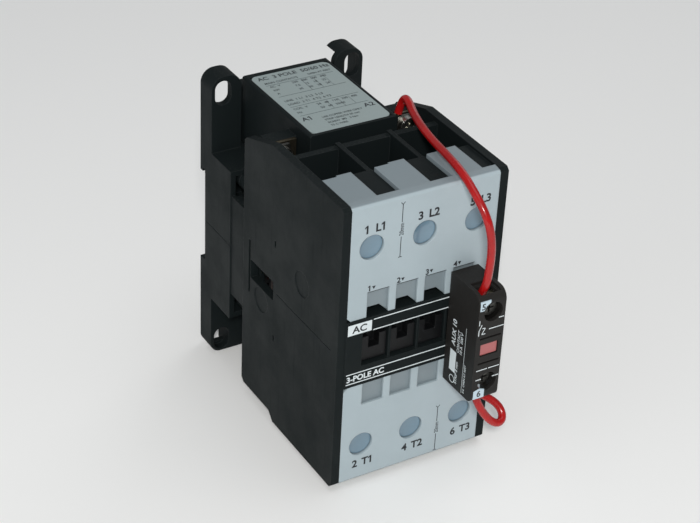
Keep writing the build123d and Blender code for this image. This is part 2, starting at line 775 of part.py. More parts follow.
def contact_carrier():
    body = block(both(socket_half_x - 0.5), crossbar_y, mirrored(tab_z, 1))
    body += block(both(core_half_x - 0.5), flange_y, about(centre_z, 9.5))
    body += block(both(6.0), flange_y, about(centre_z, spring_z + 3.8))
    for x in pole_x:
        post = block(about(x, post_half_x), (crossbar_y[0] + 1, flange_y[1] - 1), about(centre_z, post_half_z))
        body += post - block(about(x, 3.6), window_y, about(centre_z, 10))
    for x in window_x:
        tab = block(about(x, 4.65), (tab_y[0], tab_y[1] + 0.5), mirrored(tab_z, 1))
        tab = fillet(tab.edges().filter_by(Axis.Y), 0.5)
        body += tab - block(about(x, 2.0), (tab_y[0] - 1, tab_y[1] - 2.0), mirrored((-0.5, 6), 1))
    for side in sides:
        body += block(both(cheek_half_x), (flange_y[1] - 0.5, armature_y[1] - 0.6), mirrored((10.4, 12.4), side))
        body += rod(0, centre_z + side * spring_z, 2.3, (flange_y[1] - 0.5, flange_y[1] + 3.5))
    return body - rod_z(0, pin_y, 1.47, about(centre_z, 14))


def moving_bridge(x):
    bar = block(about(x, 3.2), (window_y[1] - bridge_thickness, window_y[1]), about(centre_z, bridge_half_z))
    for side in sides:
        pad = block(about(x, 2.5), (window_y[1] - 0.2, window_y[1] + tip), mirrored(tip_z, side))
        bar += rounded(pad, Axis.Y, 0.8)
    return bar + rod(x, centre_z, 1.6, (window_y[1] - bridge_thickness - 1.2, window_y[1] - bridge_thickness + 0.2))


def contact_springs():
    y = (window_y[0], window_y[1] - bridge_thickness)
    return [spring_y(x, centre_z, 2.4, 0.3, 4, y) for x in pole_x]


def housing_screws():
    screws = []
    for x in sides:
        for z in sides:
            head = rod(x * screw_x, centre_z + z * screw_z, screw_head, (-6.0, -3.4))
            shank = rod(x * screw_x, centre_z + z * screw_z, screw_shank, (-45.0, -5.9))
            screw = head + shank
            cross = Box(4.2, 3.0, 0.8) + Box(0.8, 3.0, 4.2)
            screws.append(screw - Pos(x * screw_x, -3.4, centre_z + z * screw_z) * cross)
    return screws


# ---- auxiliary block ----
aux_inside = (aux_x[0] + aux_wall, aux_x[1] - aux_wall)
aux_screw_x = 16.5
guide_half = 2.2
hook_x = (13.2, 18.0)
funnel_z = 17.4


def aux_section():
    """Block outline in (y, z) with rounded front corners drawn as short facets."""
    low, high = aux_z
    points = [(aux_rear_y, low), (aux_rear_y, high)]
    points += corner(aux_front_y, high, 3.6, 1)
    points += corner(aux_front_y, low, 2.6, -1)
    return points


def corner(y, z, radius, side):
    """Quarter round at a front corner, listed from the top down."""
    centre = (y + radius, z - side * radius)
    steps = 6
    angles = [90 * i / steps for i in range(steps + 1)]
    if side > 0:
        angles = [90 + a for a in angles]
    else:
        angles = [180 + a for a in angles]
    return [(centre[0] + radius * math.cos(math.radians(a)), centre[1] + radius * math.sin(math.radians(a)))
            for a in angles]


def aux_body():
    body = profile_x(aux_section(), aux_x)
    body -= block(aux_inside, (aux_front_y + 1.4, aux_rear_y - 1.2), (aux_z[0] + 1.4, aux_z[1] - 2.4))
    for z in (7.2, -9.4):
        body += block((aux_inside[0] - 0.1, 13.6), (-108.6, aux_rear_y - 1), (z, z + 1))
    body -= block((indicator_x[0], indicator_x[1]), (aux_front_y - 1, aux_front_y + 2), indicator_z)
    for z in aux_screw_z:
        body -= rod(aux_screw_x, z, 3.5, (aux_front_y - 1, aux_front_y + 2))
    for z in (3.5, -6.2):
        body -= block((12.2, 20.3), (aux_front_y - 1, aux_front_y + 0.8), about(z, 0.35))
    body -= block(about(aux_centre_x, guide_half + 0.2), (aux_rear_y - 2, aux_rear_y + 1), (-3.4, 3.4))
    body += block(hook_x, (aux_rear_y - 0.2, -93.4), mirrored((window_sill - 1.1, window_sill - 2.6), 1))
    body += block(hook_x, (aux_rear_y - 0.2, front_y + window_floor - 0.1),
                  mirrored((lower_edge - 0.4, lower_edge - 2.0), 1))
    body -= tag_recess("upper") + tag_recess("lower")
    body -= wire_funnel(1)
    body -= wire_funnel(-1)
    body -= rod_z(lead_return[0], lead_return[1], lead_diameter / 2 + 0.5, (aux_z[0] - 1, aux_z[0] + 2))
    return body


tag_y = (aux_front_y - 0.02, aux_front_y + 0.5)


def tag_outline(which):
    if which == "upper":
        return [(11.3, 14.3), (11.3, 17.8), (15.2, 17.8), (15.2, 16.9), (13.6, 15.8), (12.9, 14.3)]
    return [(11.6, -20.0), (11.6, -16.8), (13.6, -16.2), (15.8, -17.0), (15.8, -20.0)]


def tag_recess(which):
    return profile_y(tag_outline(which), (aux_front_y - 1, aux_front_y + 0.52))


def number_tag(which):
    return profile_y(tag_outline(which), tag_y)


def wire_funnel(side):
    """Sloping mouth that leads a wire to the clamp behind the front wall."""
    edge = aux_z[1] if side > 0 else aux_z[0]
    top = block((12.2, 19.8), (aux_front_y + 1.6, -106.2), ordered(edge + side, edge - side * 1.2))
    neck = block((12.9, 19.1), (aux_front_y + 1.8, -107.2), ordered(edge + side, edge - side * 3.2))
    return top + neck


stem_front_y = -110.6
aux_window_y = -109.8      # front end of the window that holds the bridge and its spring
aux_bridge_y = (-106.5, -105.7)


def aux_plunger():
    """Slides through the block and takes hold of a drive tab of the carrier."""
    stem = block(about(aux_centre_x, guide_half), (stem_front_y, aux_rear_y + 0.1), (-3.2, 3.2))
    fork = block(about(aux_centre_x, 1.7), (aux_rear_y - 0.2, -93.2), (-1.0, 2.6))
    window = block(about(aux_centre_x, 1.4), (aux_window_y, aux_bridge_y[1]), both(4))
    return stem + fork - window


def aux_indicator():
    face = block((indicator_x[0] + 0.15, indicator_x[1] - 0.15), (aux_front_y + 0.5, stem_front_y),
                 (indicator_z[0] + 0.15, indicator_z[1] - 0.15))
    return fillet(face.edges().filter_by(Axis.Y), 0.4)


def aux_bridge():
    bar = block(about(aux_centre_x, 1.2), aux_bridge_y, (-7.4, 6.8))
    for z in (-6.0, 5.4):
        bar += rod(aux_centre_x, z, 1.0, (aux_bridge_y[1] - 0.1, aux_bridge_y[1] + 0.5))
    return bar


def aux_spring():
    return spring_y(aux_centre_x, 0, 1.2, 0.2, 4, (aux_window_y, aux_bridge_y[0]))


aux_tip_z = {1: 5.4, -1: -6.0}
aux_clamp_y = (-108.4, -107.2)
aux_arm_y = (-99.7, -98.8)


def aux_contact(side):
    """Clamp plate behind the screw, stepping back to a tip in the bridge chamber."""
    screw_height = aux_screw_z[1] if side > 0 else aux_screw_z[0]
    tip_height = aux_tip_z[side]
    clamp = block((13.0, 19.9), aux_clamp_y, about(screw_height, 3.4))
    clamp -= rod(aux_screw_x, screw_height, 1.45, (aux_clamp_y[0] - 1, aux_clamp_y[1] + 1))
    inner_edge = screw_height - side * 3.4
    step = block((18.6, 19.9), (aux_clamp_y[0], aux_arm_y[1]), ordered(inner_edge, inner_edge + side * 1.2))
    arm = block((14.7, 19.9), aux_arm_y, ordered(tip_height - side * 1.2, inner_edge + side * 1.2))
    contact_tip = rod(aux_centre_x, tip_height, 1.0, (aux_arm_y[0] - 0.4, aux_arm_y[0] + 0.1))
    return clamp + step + arm + contact_tip


def aux_terminal_screws():
    return [screw_y(aux_screw_x, z, 1.4, 2.8, (aux_clamp_y[0] - 3.2, aux_clamp_y[0] - 1.2), -101.8) for z in aux_screw_z]


# ---- leads ----
def corner_radii(route, least):
    """As large as each corner's two runs allow, in a route of straight runs."""
    points = [Vector(*p) for p in route]
    radii = []
    for before, here, after in zip(points, points[1:], points[2:]):
        run_in = here - before
        run_out = after - here
        turn = math.radians(run_in.get_angle(run_out))
        radius = 0.45 * min(run_in.length, run_out.length) / math.tan(turn / 2)
        radii.append(max(radius, least))
    return radii


def lead(name, route):
    radii = corner_radii(route, 0)
    path = FilletPolyline(*route, radius=radii)
    start = Plane(origin=path @ 0, z_dir=path % 0)
    tube = sweep(start * Circle(lead_diameter / 2), path=path)
    ideal = math.pi * lead_diameter ** 2 / 4 * path.length
    print(name, "length", round(path.length, 1), "volume ratio", round(tube.volume / ideal, 4),
          "radii", [round(r, 1) for r in radii])
    return tube


def lead_cores():
    """Bare copper ends of the two leads, from the insulation into the clamps."""
    a2 = lead_a2_route[0]
    upper = lead_a2_route[-1]
    lower = lead_aux_route[0]
    return [rod_z(a2[0], a2[1], core_radius, (coil_screw_z - 3.0, a2[2])),
            rod_z(upper[0], upper[1], core_radius, (aux_screw_z[1] - 3.0, upper[2])),
            rod_z(lower[0], lower[1], core_radius, (lower[2], aux_screw_z[0] + 3.0))]


write("base_housing", base_housing())
write("rail_latch", rail_latch())
write("rail_latch_spring", rail_latch_spring())
write("fixed_core", fixed_core())
write("shading_rings", [shading_ring(x, False) for x in sides])
write("core_pads", core_pads())
write("armature", armature())
write("armature_pin", armature_pin())
write("coil_bobbin", coil_bobbin())
write("coil_winding", coil_winding())
write("return_springs", return_springs())
write("coil_tower", coil_tower())
write("rating_plate", rating_plate())
write("coil_terminal_a1", coil_terminal(-1))
write("coil_terminal_a2", coil_terminal(1))
write("coil_terminal_screws", coil_terminal_screws())
write("coil_clamp_washers", coil_clamp_washers())
write("main_housing", main_housing())
write("upper_face_plate", face_plate(1))
write("lower_face_plate", face_plate(-1))
write("screw_plugs", screw_plugs())
for number, x in enumerate(pole_x, 1):
    for name, side in (("line", 1), ("load", -1)):
        write(f"{name}_contact_{number}", fixed_contact(x, side))
        write(f"{name}_clamp_{number}", terminal_clamp(x, side))
        write(f"{name}_screw_{number}", terminal_screw(x, side))
    write(f"moving_bridge_{number}", moving_bridge(x))
write("arc_chute_plates", arc_chute_plates())
write("chute_racks", chute_racks())
write("contact_carrier", contact_carrier())
write("contact_springs", contact_springs())
write("housing_screws", housing_screws())
write("aux_body", aux_body())
write("number_tag_5", number_tag("upper"))
write("number_tag_6", number_tag("lower"))
write("aux_plunger", aux_plunger())
write("aux_indicator", aux_indicator())
write("aux_bridge", aux_bridge())
write("aux_spring", aux_spring())
write("aux_contact_5", aux_contact(1))
write("aux_contact_6", aux_contact(-1))
write("aux_terminal_screws", aux_terminal_screws())
write("lead_a2", lead("lead_a2", lead_a2_route))
write("lead_aux", lead("lead_aux", lead_aux_route))
write("lead_cores", lead_cores())
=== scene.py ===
import json
import math

import bpy
import numpy as np
from mathutils import Matrix, Vector


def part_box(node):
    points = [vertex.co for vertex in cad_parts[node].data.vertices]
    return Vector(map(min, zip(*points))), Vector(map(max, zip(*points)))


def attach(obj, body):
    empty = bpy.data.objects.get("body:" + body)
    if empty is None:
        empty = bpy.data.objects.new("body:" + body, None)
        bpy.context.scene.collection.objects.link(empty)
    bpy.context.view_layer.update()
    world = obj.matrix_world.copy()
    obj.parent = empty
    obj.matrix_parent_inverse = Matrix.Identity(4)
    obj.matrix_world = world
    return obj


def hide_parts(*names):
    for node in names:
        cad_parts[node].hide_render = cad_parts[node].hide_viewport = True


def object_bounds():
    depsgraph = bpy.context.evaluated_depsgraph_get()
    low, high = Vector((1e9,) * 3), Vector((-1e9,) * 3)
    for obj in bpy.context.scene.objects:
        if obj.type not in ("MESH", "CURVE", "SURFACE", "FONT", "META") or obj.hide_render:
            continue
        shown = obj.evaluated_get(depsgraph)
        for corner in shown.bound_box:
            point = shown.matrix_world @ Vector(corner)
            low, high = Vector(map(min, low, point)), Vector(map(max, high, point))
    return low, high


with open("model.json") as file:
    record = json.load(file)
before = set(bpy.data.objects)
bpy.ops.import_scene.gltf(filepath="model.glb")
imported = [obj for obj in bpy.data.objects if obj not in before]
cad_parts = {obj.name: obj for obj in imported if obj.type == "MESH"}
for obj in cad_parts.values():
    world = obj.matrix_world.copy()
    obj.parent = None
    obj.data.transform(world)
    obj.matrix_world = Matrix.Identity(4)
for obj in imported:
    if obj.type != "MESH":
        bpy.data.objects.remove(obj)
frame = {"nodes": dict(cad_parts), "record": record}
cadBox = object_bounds()
print("stage: frame loaded")

# Three-pole contactor for a 35 mm rail. Metres: X across the poles, +Y into the wall, +Z up.
mm = 0.001
nodes = frame["nodes"]
slotOf = {part["node"]: part["material_slot"] for part in frame["record"]["subparts"]}


# Camera, floor and light.
view = {
    "place": (-280.63 * mm, -504.09 * mm, 339.64 * mm),
    "azimuth": -31.93,  # degrees, 0 looks along +Y
    "elevation": 32.48,
    "roll": 2.91,
    "lens": 95.97,
}
studio = {
    "floorHalf": 3.0,
    "floorDrop": 0.0004,
    "floorColour": (0.93, 0.93, 0.92, 1.0),
    "skyColour": (0.95, 0.97, 1.0, 1.0),
    "skyStrength": 0.26,
    "lamps": {  # place, size, watts, colour
        "keyLamp": ((-0.60, -1.02, 0.84), 0.16, 14.0, (1.0, 0.99, 0.97)),
        "topLamp": ((0.15, -0.15, 1.3), 0.9, 3.0, (0.95, 0.98, 1.0)),
        "sideLamp": ((-1.3, -0.2, 0.5), 0.8, 1.5, (0.92, 0.97, 1.0)),
        "rimLamp": ((1.1, 0.7, 0.8), 0.7, 2.0, (1.0, 1.0, 1.0)),
    },
}


def makeCamera(v):
    # Columns of the turn: right, up and back, rolled about the line of sight.
    a, e, r = (math.radians(v[k]) for k in ("azimuth", "elevation", "roll"))
    back = Vector((math.sin(a) * math.cos(e), -math.cos(a) * math.cos(e), math.sin(e)))
    right = (-back).cross(Vector((0, 0, 1))).normalized()
    up = back.cross(right)
    sideways = right * math.cos(r) + up * math.sin(r)
    upwards = back.cross(sideways)
    turn = Matrix((sideways, upwards, back)).transposed()
    camera = bpy.data.objects.new("viewCamera", bpy.data.cameras.new("viewCamera"))
    camera.data.lens = v["lens"]
    camera.data.sensor_width = 36.0
    camera.data.clip_start = 0.01
    camera.matrix_world = Matrix.Translation(v["place"]) @ turn.to_4x4()
    bpy.context.collection.objects.link(camera)
    bpy.context.scene.camera = camera


def makeLamp(name, place, size, watts, colour):
    light = bpy.data.lights.new(name, "AREA")
    light.size = size
    light.energy = watts
    light.color = colour
    lamp = bpy.data.objects.new(name, light)
    aim = Vector(place).to_track_quat("Z", "Y")
    lamp.matrix_world = Matrix.Translation(place) @ aim.to_matrix().to_4x4()
    bpy.context.collection.objects.link(lamp)


def makeStudio(s):
    world = bpy.data.worlds.new("paleRoom")
    world.use_nodes = True
    sky = world.node_tree.nodes["Background"]
    sky.inputs["Color"].default_value = s["skyColour"]
    sky.inputs["Strength"].default_value = s["skyStrength"]
    bpy.context.scene.world = world
    bpy.context.scene.view_settings.view_transform = "Standard"
    for name, (place, size, watts, colour) in s["lamps"].items():
        makeLamp(name, place, size, watts, colour)
    half = s["floorHalf"]
    low = cadBox[0][2] - s["floorDrop"]
    mesh = bpy.data.meshes.new("floor")
    mesh.from_pydata([(-half, -half, low), (half, -half, low), (half, half, low), (-half, half, low)],
                     [], [(0, 1, 2, 3)])
    floor = bpy.data.objects.new("floor", mesh)
    bpy.context.collection.objects.link(floor)
    paint = bpy.data.materials.new("floorPaint")
    paint.use_nodes = True
    shader = paint.node_tree.nodes["Principled BSDF"]
    shader.inputs["Base Color"].default_value = s["floorColour"]
    shader.inputs["Roughness"].default_value = 0.85
    mesh.materials.append(paint)


makeCamera(view)
makeStudio(studio)
print("stage: camera and studio")


# The two red leads.
leads = {
    "diameter": 2.7 * mm,
    "leadA2": {
        "node": "lead_a2",
        "length": 0.1078,
        "route": [(21.3, -45.0, 49.2), (22.2, -44.9, 52.4), (22.6, -46.4, 55.4), (22.0, -49.8, 55.9),
                  (20.5, -54.8, 54.6), (17.9, -64.1, 54.5), (15.2, -75.4, 55.3), (13.0, -87.2, 56.4),
                  (11.7, -97.7, 56.2), (11.2, -106.1, 53.0), (11.8, -111.5, 48.6), (13.0, -113.5, 42.8),
                  (14.2, -113.2, 35.3), (14.8, -112.0, 27.4), (14.9, -111.0, 20.9), (14.4, -109.0, 16.7)],
    },
    "leadAux": {
        "node": "lead_aux",
        "length": 0.0438,
        "route": [(14.4, -109.0, -17.7), (14.9, -110.8, -22.0), (16.6, -111.8, -26.4),
                  (18.8, -112.5, -30.1), (21.1, -113.2, -32.8), (23.6, -113.5, -34.1),
                  (25.8, -112.6, -33.6), (26.5, -110.8, -31.7), (25.6, -108.8, -29.7),
                  (23.6, -106.8, -28.1), (21.3, -105.0, -26.7), (19.2, -103.5, -24.7),
                  (17.9, -102.6, -21.9), (17.7, -102.3, -19.0)],
    },
}


def makeLead(name, one):
    # A smooth spline whose control points are the chosen points of the route.
    points = [tuple(v * mm for v in p) for p in one["route"]]
    curve = bpy.data.curves.new(name, "CURVE")
    curve.dimensions = "3D"
    curve.resolution_u = 10
    curve.bevel_depth = 1.0
    curve.bevel_resolution = 6
    curve.use_fill_caps = True
    spline = curve.splines.new("NURBS")
    spline.points.add(len(points) - 1)
    for control, point in zip(spline.points, points):
        control.co = (*point, 1.0)
        control.radius = leads["diameter"] / 2
    spline.order_u = 3
    spline.use_endpoint_u = True
    lead = bpy.data.objects.new(name, curve)
    bpy.context.collection.objects.link(lead)
    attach(lead, "housing")
    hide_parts(one["node"])
    return lead, points[0]


leadPieces = {}
for leadName in ("leadA2", "leadAux"):
    piece, start = makeLead(leadName, leads[leadName])
    leadPieces[leadName] = piece
print("stage: leads")


# Shared effects.
def newGroup(name, inputs, outputs):
    # An empty node group with named float, colour or vector sockets.
    group = bpy.data.node_groups.new(name, "ShaderNodeTree")
    for label, kind, value in inputs:
        socket = group.interface.new_socket(name=label, in_out="INPUT", socket_type="NodeSocket" + kind)
        if value is not None:
            socket.default_value = value
    for label, kind in outputs:
        group.interface.new_socket(name=label, in_out="OUTPUT", socket_type="NodeSocket" + kind)
    return group, group.nodes.new("NodeGroupInput"), group.nodes.new("NodeGroupOutput")


def addNode(tree, kind, links=None, **values):
    # A node with its properties set, and its inputs set or linked by name or number.
    node = tree.nodes.new("ShaderNode" + kind)
    for key, value in values.items():
        setattr(node, key, value)
    for key, value in (links or {}).items():
        if isinstance(value, bpy.types.NodeSocket):
            tree.links.new(value, node.inputs[key])
        else:
            node.inputs[key].default_value = value
    return node


def mathNode(tree, operation, a, b=0.0, clamp=False):
    return addNode(tree, "Math", {0: a, 1: b}, operation=operation, use_clamp=clamp).outputs[0]


def buildSoftEdge():
    # Rounds the edges in the shading, and gives a broken mask where handling has polished them; the plastics
    # also use it for a painted edge highlight.
    group, given, out = newGroup(
        "softEdge",
        [("Radius", "Float", 0.0003), ("Breakup", "Float", 900.0)],
        [("Normal", "Vector"), ("Edge", "Float")])
    bevel = addNode(group, "Bevel", {"Radius": given.outputs["Radius"]}, samples=4)
    surface = addNode(group, "NewGeometry")
    dot = addNode(group, "VectorMath", {0: bevel.outputs[0], 1: surface.outputs["Normal"]},
                  operation="DOT_PRODUCT")
    turned = mathNode(group, "SUBTRACT", 1.0, dot.outputs["Value"], True)
    where = addNode(group, "TexCoord")
    patches = addNode(group, "TexNoise", {"Vector": where.outputs["Object"],
                                          "Scale": given.outputs["Breakup"], "Detail": 3.0})
    sharper = mathNode(group, "MULTIPLY", turned, 6.0)
    mask = mathNode(group, "MULTIPLY", sharper, patches.outputs["Fac"], True)
    group.links.new(bevel.outputs[0], out.inputs["Normal"])
    group.links.new(mask, out.inputs["Edge"])
    return group


def buildMouldGrain():
    # Spark-eroded mould texture: fine cells broken by finer noise, put out as a height.
    group, given, out = newGroup(
        "mouldGrain", [("Scale", "Float", 4200.0)], [("Height", "Float"), ("Speck", "Float")])
    where = addNode(group, "TexCoord")
    cells = addNode(group, "TexVoronoi", {"Vector": where.outputs["Object"], "Scale": given.outputs["Scale"]},
                    feature="SMOOTH_F1")
    fine = addNode(group, "TexNoise", {"Vector": where.outputs["Object"],
                                       "Scale": mathNode(group, "MULTIPLY", given.outputs["Scale"], 1.7),
                                       "Detail": 4.0, "Roughness": 0.6})
    height = mathNode(group, "ADD", mathNode(group, "MULTIPLY", cells.outputs["Distance"], 0.6),
                      mathNode(group, "MULTIPLY", fine.outputs["Fac"], 0.4))
    group.links.new(height, out.inputs["Height"])
    group.links.new(fine.outputs["Fac"], out.inputs["Speck"])
    return group


def buildHandling():
    # Cloudy marks from handling, a few thin streaks and dust lying on top, as 0 to 1 masks.
    group, given, out = newGroup(
        "handling", [("Scale", "Float", 55.0)], [("Smudge", "Float"), ("Streak", "Float"), ("Dust", "Float")])
    where = addNode(group, "TexCoord")
    cloud = addNode(group, "TexNoise", {"Vector": where.outputs["Object"], "Scale": given.outputs["Scale"],
                                        "Detail": 6.0, "Roughness": 0.62})
    soft = addNode(group, "MapRange", {"Value": cloud.outputs["Fac"], "From Min": 0.36, "From Max": 0.68})
    stretch = addNode(group, "Mapping", {"Vector": where.outputs["Object"], "Scale": (260.0, 260.0, 18.0)})
    lines = addNode(group, "TexNoise", {"Vector": stretch.outputs[0], "Scale": 3.0, "Detail": 5.0})
    thin = addNode(group, "MapRange", {"Value": lines.outputs["Fac"], "From Min": 0.6, "From Max": 0.72})
    surface = addNode(group, "NewGeometry")
    upward = addNode(group, "SeparateXYZ", {0: surface.outputs["Normal"]})
    specks = addNode(group, "TexNoise", {"Vector": where.outputs["Object"], "Scale": 1500.0, "Detail": 4.0})
    grains = addNode(group, "MapRange", {"Value": specks.outputs["Fac"], "From Min": 0.52, "From Max": 0.7})
    lying = mathNode(group, "MULTIPLY", upward.outputs["Z"], soft.outputs[0], True)
    dust = mathNode(group, "MULTIPLY", lying, grains.outputs[0])
    group.links.new(soft.outputs[0], out.inputs["Smudge"])
    group.links.new(thin.outputs[0], out.inputs["Streak"])
    group.links.new(dust, out.inputs["Dust"])
    return group


softEdge = buildSoftEdge()
mouldGrain = buildMouldGrain()
handling = buildHandling()


def useGroup(tree, group, **values):
    node = tree.nodes.new("ShaderNodeGroup")
    node.node_tree = group
    for key, value in values.items():
        node.inputs[key].default_value = value
    return node


def mixColour(tree, factor, a, b):
    mix = addNode(tree, "Mix", {"Factor": factor}, data_type="RGBA")
    for socket, value in ((mix.inputs[6], a), (mix.inputs[7], b)):
        if isinstance(value, bpy.types.NodeSocket):
            tree.links.new(value, socket)
        else:
            socket.default_value = (*value, 1.0)
    return mix.outputs[2]


def startMaterial(name, **constants):
    # A node material and its shader, with the values that are the same all over set on the shader.
    material = bpy.data.materials.new(name)
    material.use_nodes = True
    shader = material.node_tree.nodes["Principled BSDF"]
    for key, value in constants.items():
        shader.inputs[key.replace("_", " ")].default_value = value
    return material, material.node_tree, shader


# Plastics.
# Each plastic's edge colour lightens its edges: partly real wear, partly a painted highlight.
plastics = {
    "black_moulding": {
        "colour": (0.0078, 0.0112, 0.0118), "wornSheen": (0.040, 0.046, 0.047), "dusty": (0.07, 0.075, 0.07),
        "rough": (0.50, 0.66), "grain": 3600.0, "depth": 0.32, "edge": 0.00035, "wearSheen": 0.55, "dust": 0.20,
        "specular": 0.10, "coat": 0.0},
    "warmMoulding": {
        "colour": (0.0160, 0.0150, 0.0140), "wornSheen": (0.045, 0.042, 0.04), "dusty": (0.08, 0.075, 0.07),
        "rough": (0.44, 0.6), "grain": 3900.0, "depth": 0.25, "edge": 0.0003, "wearSheen": 0.5, "dust": 0.15,
        "specular": 0.2, "coat": 0.0},
    "black_moulding_satin": {
        "colour": (0.0045, 0.0048, 0.0054), "wornSheen": (0.03, 0.032, 0.034), "dusty": (0.04, 0.04, 0.04),
        "rough": (0.34, 0.48), "grain": 5200.0, "depth": 0.15, "edge": 0.0003, "wearSheen": 0.5, "dust": 0.08,
        "specular": 0.22, "coat": 0.0},
    "grey_plate": {
        "colour": (0.38, 0.455, 0.49), "wornSheen": (0.50, 0.57, 0.59), "dusty": (0.36, 0.39, 0.38),
        "rough": (0.34, 0.47), "grain": 4200.0, "depth": 0.16, "edge": 0.0004, "wearSheen": 0.45, "dust": 0.25,
        # Painted shade on the faces that lie behind the front of the plate.
        "specular": 0.5, "coat": 0.0, "recess": (-96.5 * mm, -96.0 * mm, 0.62)},
    "grey_plug": {
        "colour": (0.15, 0.235, 0.30), "wornSheen": (0.30, 0.40, 0.46), "dusty": (0.3, 0.33, 0.33),
        "rough": (0.12, 0.22), "grain": 5200.0, "depth": 0.03, "edge": 0.0002, "wearSheen": 0.4, "dust": 0.1,
        "specular": 0.6, "coat": 0.35},
    "white_tag": {
        "colour": (0.52, 0.64, 0.72), "wornSheen": (0.7, 0.78, 0.8), "dusty": (0.4, 0.42, 0.42),
        "rough": (0.22, 0.34), "grain": 5200.0, "depth": 0.05, "edge": 0.0001, "wearSheen": 0.3, "dust": 0.1,
        "specular": 0.5, "coat": 0.2},
    "salmon_plastic": {
        "colour": (0.42, 0.125, 0.125), "wornSheen": (0.52, 0.22, 0.21), "dusty": (0.4, 0.3, 0.28),
        "rough": (0.26, 0.38), "grain": 4800.0, "depth": 0.08, "edge": 0.0002, "wearSheen": 0.4, "dust": 0.1,
        "specular": 0.5, "coat": 0.0},
    "chute_fibre": {
        "colour": (0.40, 0.31, 0.23), "wornSheen": (0.52, 0.42, 0.33), "dusty": (0.3, 0.27, 0.24),
        "rough": (0.62, 0.8), "grain": 2600.0, "depth": 0.5, "edge": 0.0002, "wearSheen": 0.3, "dust": 0.2,
        "specular": 0.3, "coat": 0.0},
    "rubber_pad": {
        "colour": (0.02, 0.02, 0.02), "wornSheen": (0.05, 0.05, 0.05), "dusty": (0.1, 0.1, 0.1),
        "rough": (0.6, 0.8), "grain": 2400.0, "depth": 0.3, "edge": 0.0004, "wearSheen": 0.3, "dust": 0.4,
        "specular": 0.35, "coat": 0.0},
}


# Colour of the painted shade in the recesses.
recessTint = (0.10, 0.125, 0.14)


def recessShade(tree, colour, recess):
    # Painted shade: darkens what lies deeper than a given Y, such as the window floors and the roof, as if
    # they lay in shadow.
    where = addNode(tree, "TexCoord")
    axes = addNode(tree, "SeparateXYZ", {0: where.outputs["Object"]})
    depth, full, share = recess
    amount = addNode(tree, "MapRange", {"Value": axes.outputs["Y"], "From Min": depth, "From Max": full})
    deeper = mathNode(tree, "MULTIPLY", amount.outputs[0], share)
    return mixColour(tree, deeper, colour, recessTint)


def plasticMaterial(name, p):
    # Moulded plastic: grain under rounded edges, polished corners lightened partly by wear and partly as a
    # painted highlight, smudges and a little dust.
    material, tree, shader = startMaterial(name, Specular_IOR_Level=p["specular"], Coat_Weight=p["coat"],
                                           Coat_Roughness=0.08)
    edge = useGroup(tree, softEdge, Radius=p["edge"])
    grain = useGroup(tree, mouldGrain, Scale=p["grain"])
    marks = useGroup(tree, handling)
    wearSheen = mathNode(tree, "MULTIPLY", edge.outputs["Edge"], p["wearSheen"])
    dust = mathNode(tree, "MULTIPLY", marks.outputs["Dust"], p["dust"])
    shade = mathNode(tree, "MULTIPLY", marks.outputs["Smudge"], 0.22)
    deeper = tuple(v * 0.72 for v in p["colour"])
    base = mixColour(tree, shade, p["colour"], deeper)
    # Lighter edges: partly wear, partly a painted highlight.
    wornSheen = mixColour(tree, wearSheen, base, p["wornSheen"])
    dusted = mixColour(tree, dust, wornSheen, p["dusty"])
    # Painted shade on deeper faces, for the plastics that have it.
    if "recess" in p:
        dusted = recessShade(tree, dusted, p["recess"])
    tree.links.new(dusted, shader.inputs["Base Color"])
    low, high = p["rough"]
    gloss = addNode(tree, "MapRange", {"Value": marks.outputs["Smudge"], "To Min": low, "To Max": high})
    finer = mathNode(tree, "SUBTRACT", gloss.outputs[0], mathNode(tree, "MULTIPLY", wearSheen, 0.25))
    streaky = mathNode(tree, "ADD", finer, mathNode(tree, "MULTIPLY", marks.outputs["Streak"], 0.06))
    tree.links.new(streaky, shader.inputs["Roughness"])
    bump = addNode(tree, "Bump", {"Strength": p["depth"], "Distance": 0.00004,
                                  "Height": grain.outputs["Height"], "Normal": edge.outputs["Normal"]})
    tree.links.new(bump.outputs[0], shader.inputs["Normal"])
    return material


# Metals.
metals = {
    "plated_steel": {"colour": (0.62, 0.62, 0.58), "stain": (0.42, 0.40, 0.34), "rough": (0.22, 0.4),
                     "brush": (900.0, 900.0, 240.0), "depth": 0.12},
    "spring_steel": {"colour": (0.50, 0.50, 0.52), "stain": (0.26, 0.25, 0.25), "rough": (0.2, 0.34),
                     "brush": (1200.0, 1200.0, 1200.0), "depth": 0.1},
    "tinned_brass": {"colour": (0.74, 0.70, 0.56), "stain": (0.55, 0.42, 0.2), "rough": (0.24, 0.42),
                     "brush": (300.0, 1500.0, 1500.0), "depth": 0.12},
    "darkSteel": {"colour": (0.16, 0.16, 0.15), "stain": (0.07, 0.065, 0.055), "rough": (0.34, 0.5),
                  "brush": (900.0, 900.0, 240.0), "depth": 0.12},
    # Coil terminal plates: brass darkened as painted shade, where the plates lie in shadow.
    "shadedBrass": {"colour": (0.17, 0.15, 0.11), "stain": (0.08, 0.06, 0.04), "rough": (0.36, 0.52),
                  "brush": (300.0, 1500.0, 1500.0), "depth": 0.12},
    "copper": {"colour": (0.80, 0.42, 0.27), "stain": (0.38, 0.17, 0.11), "rough": (0.22, 0.42),
               "brush": (1400.0, 1400.0, 200.0), "depth": 0.14},
}


